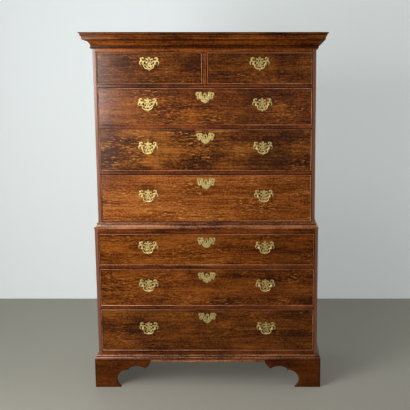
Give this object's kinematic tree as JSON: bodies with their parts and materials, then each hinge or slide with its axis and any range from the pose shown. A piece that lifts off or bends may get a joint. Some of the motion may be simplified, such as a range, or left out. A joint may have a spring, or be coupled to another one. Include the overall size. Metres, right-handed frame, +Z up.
{
  "type": "chest on chest",
  "caption": "Oak chest on chest: an upper chest of short and long drawers on a lower chest of long drawers, with cornice, mouldings, ogee bracket feet and pierced brasses.",
  "frame": {"origin": "on the floor, under the middle of the part", "axes": "+Z up, -Y out of the drawer fronts, +X to the right when facing the drawers"},
  "size_m": [1.178, 0.574, 1.756],
  "materials": {
    "polished_oak": "old reddish-brown varnish, semi-gloss",
    "secondary_timber": "dry unpolished oak and pine",
    "brass": "polished, lacquered",
    "iron": "filed iron"
  },
  "bodies": {
    "case": {"base_moulding": "polished_oak", "bracket_feet": "polished_oak", "cornice_moulding": "polished_oak", "lower_case_back_boards": "secondary_timber", "lower_case_boards": "secondary_timber", "lower_case_dust_frames": "secondary_timber", "lower_case_rails": "polished_oak", "lower_case_sides": "polished_oak", "upper_case_back_boards": "secondary_timber", "upper_case_boards": "secondary_timber", "upper_case_dust_frames": "secondary_timber", "upper_case_rails": "polished_oak", "upper_case_sides": "polished_oak", "waist_moulding": "polished_oak"},
    "drawer_short_left": {"drawer_short_left_front": "polished_oak", "drawer_short_left_box": "secondary_timber", "drawer_short_left_brasses": "brass"},
    "bolt_short_left": {"lock_bolt_short_left": "iron"},
    "bail_short_left": {"bail_short_left": "brass"},
    "drawer_short_right": {"drawer_short_right_front": "polished_oak", "drawer_short_right_box": "secondary_timber", "drawer_short_right_brasses": "brass"},
    "bolt_short_right": {"lock_bolt_short_right": "iron"},
    "bail_short_right": {"bail_short_right": "brass"},
    "drawer_long_1": {"drawer_long_1_front": "polished_oak", "drawer_long_1_box": "secondary_timber", "drawer_long_1_brasses": "brass"},
    "bolt_long_1": {"lock_bolt_long_1": "iron"},
    "bail_long_1_left": {"bail_long_1_left": "brass"},
    "bail_long_1_right": {"bail_long_1_right": "brass"},
    "drawer_long_2": {"drawer_long_2_front": "polished_oak", "drawer_long_2_box": "secondary_timber", "drawer_long_2_brasses": "brass"},
    "bolt_long_2": {"lock_bolt_long_2": "iron"},
    "bail_long_2_left": {"bail_long_2_left": "brass"},
    "bail_long_2_right": {"bail_long_2_right": "brass"},
    "drawer_long_3": {"drawer_long_3_front": "polished_oak", "drawer_long_3_box": "secondary_timber", "drawer_long_3_brasses": "brass"},
    "bolt_long_3": {"lock_bolt_long_3": "iron"},
    "bail_long_3_left": {"bail_long_3_left": "brass"},
    "bail_long_3_right": {"bail_long_3_right": "brass"},
    "drawer_long_4": {"drawer_long_4_front": "polished_oak", "drawer_long_4_box": "secondary_timber", "drawer_long_4_brasses": "brass"},
    "bolt_long_4": {"lock_bolt_long_4": "iron"},
    "bail_long_4_left": {"bail_long_4_left": "brass"},
    "bail_long_4_right": {"bail_long_4_right": "brass"},
    "drawer_long_5": {"drawer_long_5_front": "polished_oak", "drawer_long_5_box": "secondary_timber", "drawer_long_5_brasses": "brass"},
    "bolt_long_5": {"lock_bolt_long_5": "iron"},
    "bail_long_5_left": {"bail_long_5_left": "brass"},
    "bail_long_5_right": {"bail_long_5_right": "brass"},
    "drawer_long_6": {"drawer_long_6_front": "polished_oak", "drawer_long_6_box": "secondary_timber", "drawer_long_6_brasses": "brass"},
    "bolt_long_6": {"lock_bolt_long_6": "iron"},
    "bail_long_6_left": {"bail_long_6_left": "brass"},
    "bail_long_6_right": {"bail_long_6_right": "brass"}
  },
  "joints": [
    {"name": "drawer_short_left_slide", "type": "slide", "parent": "case", "child": "drawer_short_left", "axis": [0, -1, 0], "range_m": [0, 0.4]},
    {"name": "drawer_short_right_slide", "type": "slide", "parent": "case", "child": "drawer_short_right", "axis": [0, -1, 0], "range_m": [0, 0.4]},
    {"name": "drawer_long_1_slide", "type": "slide", "parent": "case", "child": "drawer_long_1", "axis": [0, -1, 0], "range_m": [0, 0.4]},
    {"name": "drawer_long_2_slide", "type": "slide", "parent": "case", "child": "drawer_long_2", "axis": [0, -1, 0], "range_m": [0, 0.4]},
    {"name": "drawer_long_3_slide", "type": "slide", "parent": "case", "child": "drawer_long_3", "axis": [0, -1, 0], "range_m": [0, 0.4]},
    {"name": "drawer_long_4_slide", "type": "slide", "parent": "case", "child": "drawer_long_4", "axis": [0, -1, 0], "range_m": [0, 0.4]},
    {"name": "drawer_long_5_slide", "type": "slide", "parent": "case", "child": "drawer_long_5", "axis": [0, -1, 0], "range_m": [0, 0.4]},
    {"name": "drawer_long_6_slide", "type": "slide", "parent": "case", "child": "drawer_long_6", "axis": [0, -1, 0], "range_m": [0, 0.4]},
    {"name": "lock_bolt_short_left_throw", "type": "slide", "parent": "drawer_short_left", "child": "bolt_short_left", "axis": [0, 0, 1], "range_m": [0, 0.008]},
    {"name": "lock_bolt_short_right_throw", "type": "slide", "parent": "drawer_short_right", "child": "bolt_short_right", "axis": [0, 0, 1], "range_m": [0, 0.008]},
    {"name": "lock_bolt_long_1_throw", "type": "slide", "parent": "drawer_long_1", "child": "bolt_long_1", "axis": [0, 0, 1], "range_m": [0, 0.008]},
    {"name": "lock_bolt_long_2_throw", "type": "slide", "parent": "drawer_long_2", "child": "bolt_long_2", "axis": [0, 0, 1], "range_m": [0, 0.008]},
    {"name": "lock_bolt_long_3_throw", "type": "slide", "parent": "drawer_long_3", "child": "bolt_long_3", "axis": [0, 0, 1], "range_m": [0, 0.008]},
    {"name": "lock_bolt_long_4_throw", "type": "slide", "parent": "drawer_long_4", "child": "bolt_long_4", "axis": [0, 0, 1], "range_m": [0, 0.008]},
    {"name": "lock_bolt_long_5_throw", "type": "slide", "parent": "drawer_long_5", "child": "bolt_long_5", "axis": [0, 0, 1], "range_m": [0, 0.008]},
    {"name": "lock_bolt_long_6_throw", "type": "slide", "parent": "drawer_long_6", "child": "bolt_long_6", "axis": [0, 0, 1], "range_m": [0, 0.008]},
    {"name": "bail_short_left_swing", "type": "hinge", "parent": "drawer_short_left", "child": "bail_short_left", "pos_m": [-0.2645, -0.246, 1.61165], "axis": [-1, 0, 0], "range_deg": [-10, 150]},
    {"name": "bail_short_right_swing", "type": "hinge", "parent": "drawer_short_right", "child": "bail_short_right", "pos_m": [0.2645, -0.246, 1.61165], "axis": [-1, 0, 0], "range_deg": [-10, 150]},
    {"name": "bail_long_1_left_swing", "type": "hinge", "parent": "drawer_long_1", "child": "bail_long_1_left", "pos_m": [-0.2765, -0.246, 1.41765], "axis": [-1, 0, 0], "range_deg": [-10, 150]},
    {"name": "bail_long_1_right_swing", "type": "hinge", "parent": "drawer_long_1", "child": "bail_long_1_right", "pos_m": [0.2765, -0.246, 1.41765], "axis": [-1, 0, 0], "range_deg": [-10, 150]},
    {"name": "bail_long_2_left_swing", "type": "hinge", "parent": "drawer_long_2", "child": "bail_long_2_left", "pos_m": [-0.2795, -0.246, 1.20815], "axis": [-1, 0, 0], "range_deg": [-10, 150]},
    {"name": "bail_long_2_right_swing", "type": "hinge", "parent": "drawer_long_2", "child": "bail_long_2_right", "pos_m": [0.2795, -0.246, 1.20815], "axis": [-1, 0, 0], "range_deg": [-10, 150]},
    {"name": "bail_long_3_left_swing", "type": "hinge", "parent": "drawer_long_3", "child": "bail_long_3_left", "pos_m": [-0.284, -0.246, 0.97215], "axis": [-1, 0, 0], "range_deg": [-10, 150]},
    {"name": "bail_long_3_right_swing", "type": "hinge", "parent": "drawer_long_3", "child": "bail_long_3_right", "pos_m": [0.284, -0.246, 0.97215], "axis": [-1, 0, 0], "range_deg": [-10, 150]},
    {"name": "bail_long_4_left_swing", "type": "hinge", "parent": "drawer_long_4", "child": "bail_long_4_left", "pos_m": [-0.289, -0.2625, 0.71715], "axis": [-1, 0, 0], "range_deg": [-10, 150]},
    {"name": "bail_long_4_right_swing", "type": "hinge", "parent": "drawer_long_4", "child": "bail_long_4_right", "pos_m": [0.289, -0.2625, 0.71715], "axis": [-1, 0, 0], "range_deg": [-10, 150]},
    {"name": "bail_long_5_left_swing", "type": "hinge", "parent": "drawer_long_5", "child": "bail_long_5_left", "pos_m": [-0.291, -0.2625, 0.52415], "axis": [-1, 0, 0], "range_deg": [-10, 150]},
    {"name": "bail_long_5_right_swing", "type": "hinge", "parent": "drawer_long_5", "child": "bail_long_5_right", "pos_m": [0.291, -0.2625, 0.52415], "axis": [-1, 0, 0], "range_deg": [-10, 150]},
    {"name": "bail_long_6_left_swing", "type": "hinge", "parent": "drawer_long_6", "child": "bail_long_6_left", "pos_m": [-0.295, -0.2625, 0.30315], "axis": [-1, 0, 0], "range_deg": [-10, 150]},
    {"name": "bail_long_6_right_swing", "type": "hinge", "parent": "drawer_long_6", "child": "bail_long_6_right", "pos_m": [0.295, -0.2625, 0.30315], "axis": [-1, 0, 0], "range_deg": [-10, 150]}
  ]
}
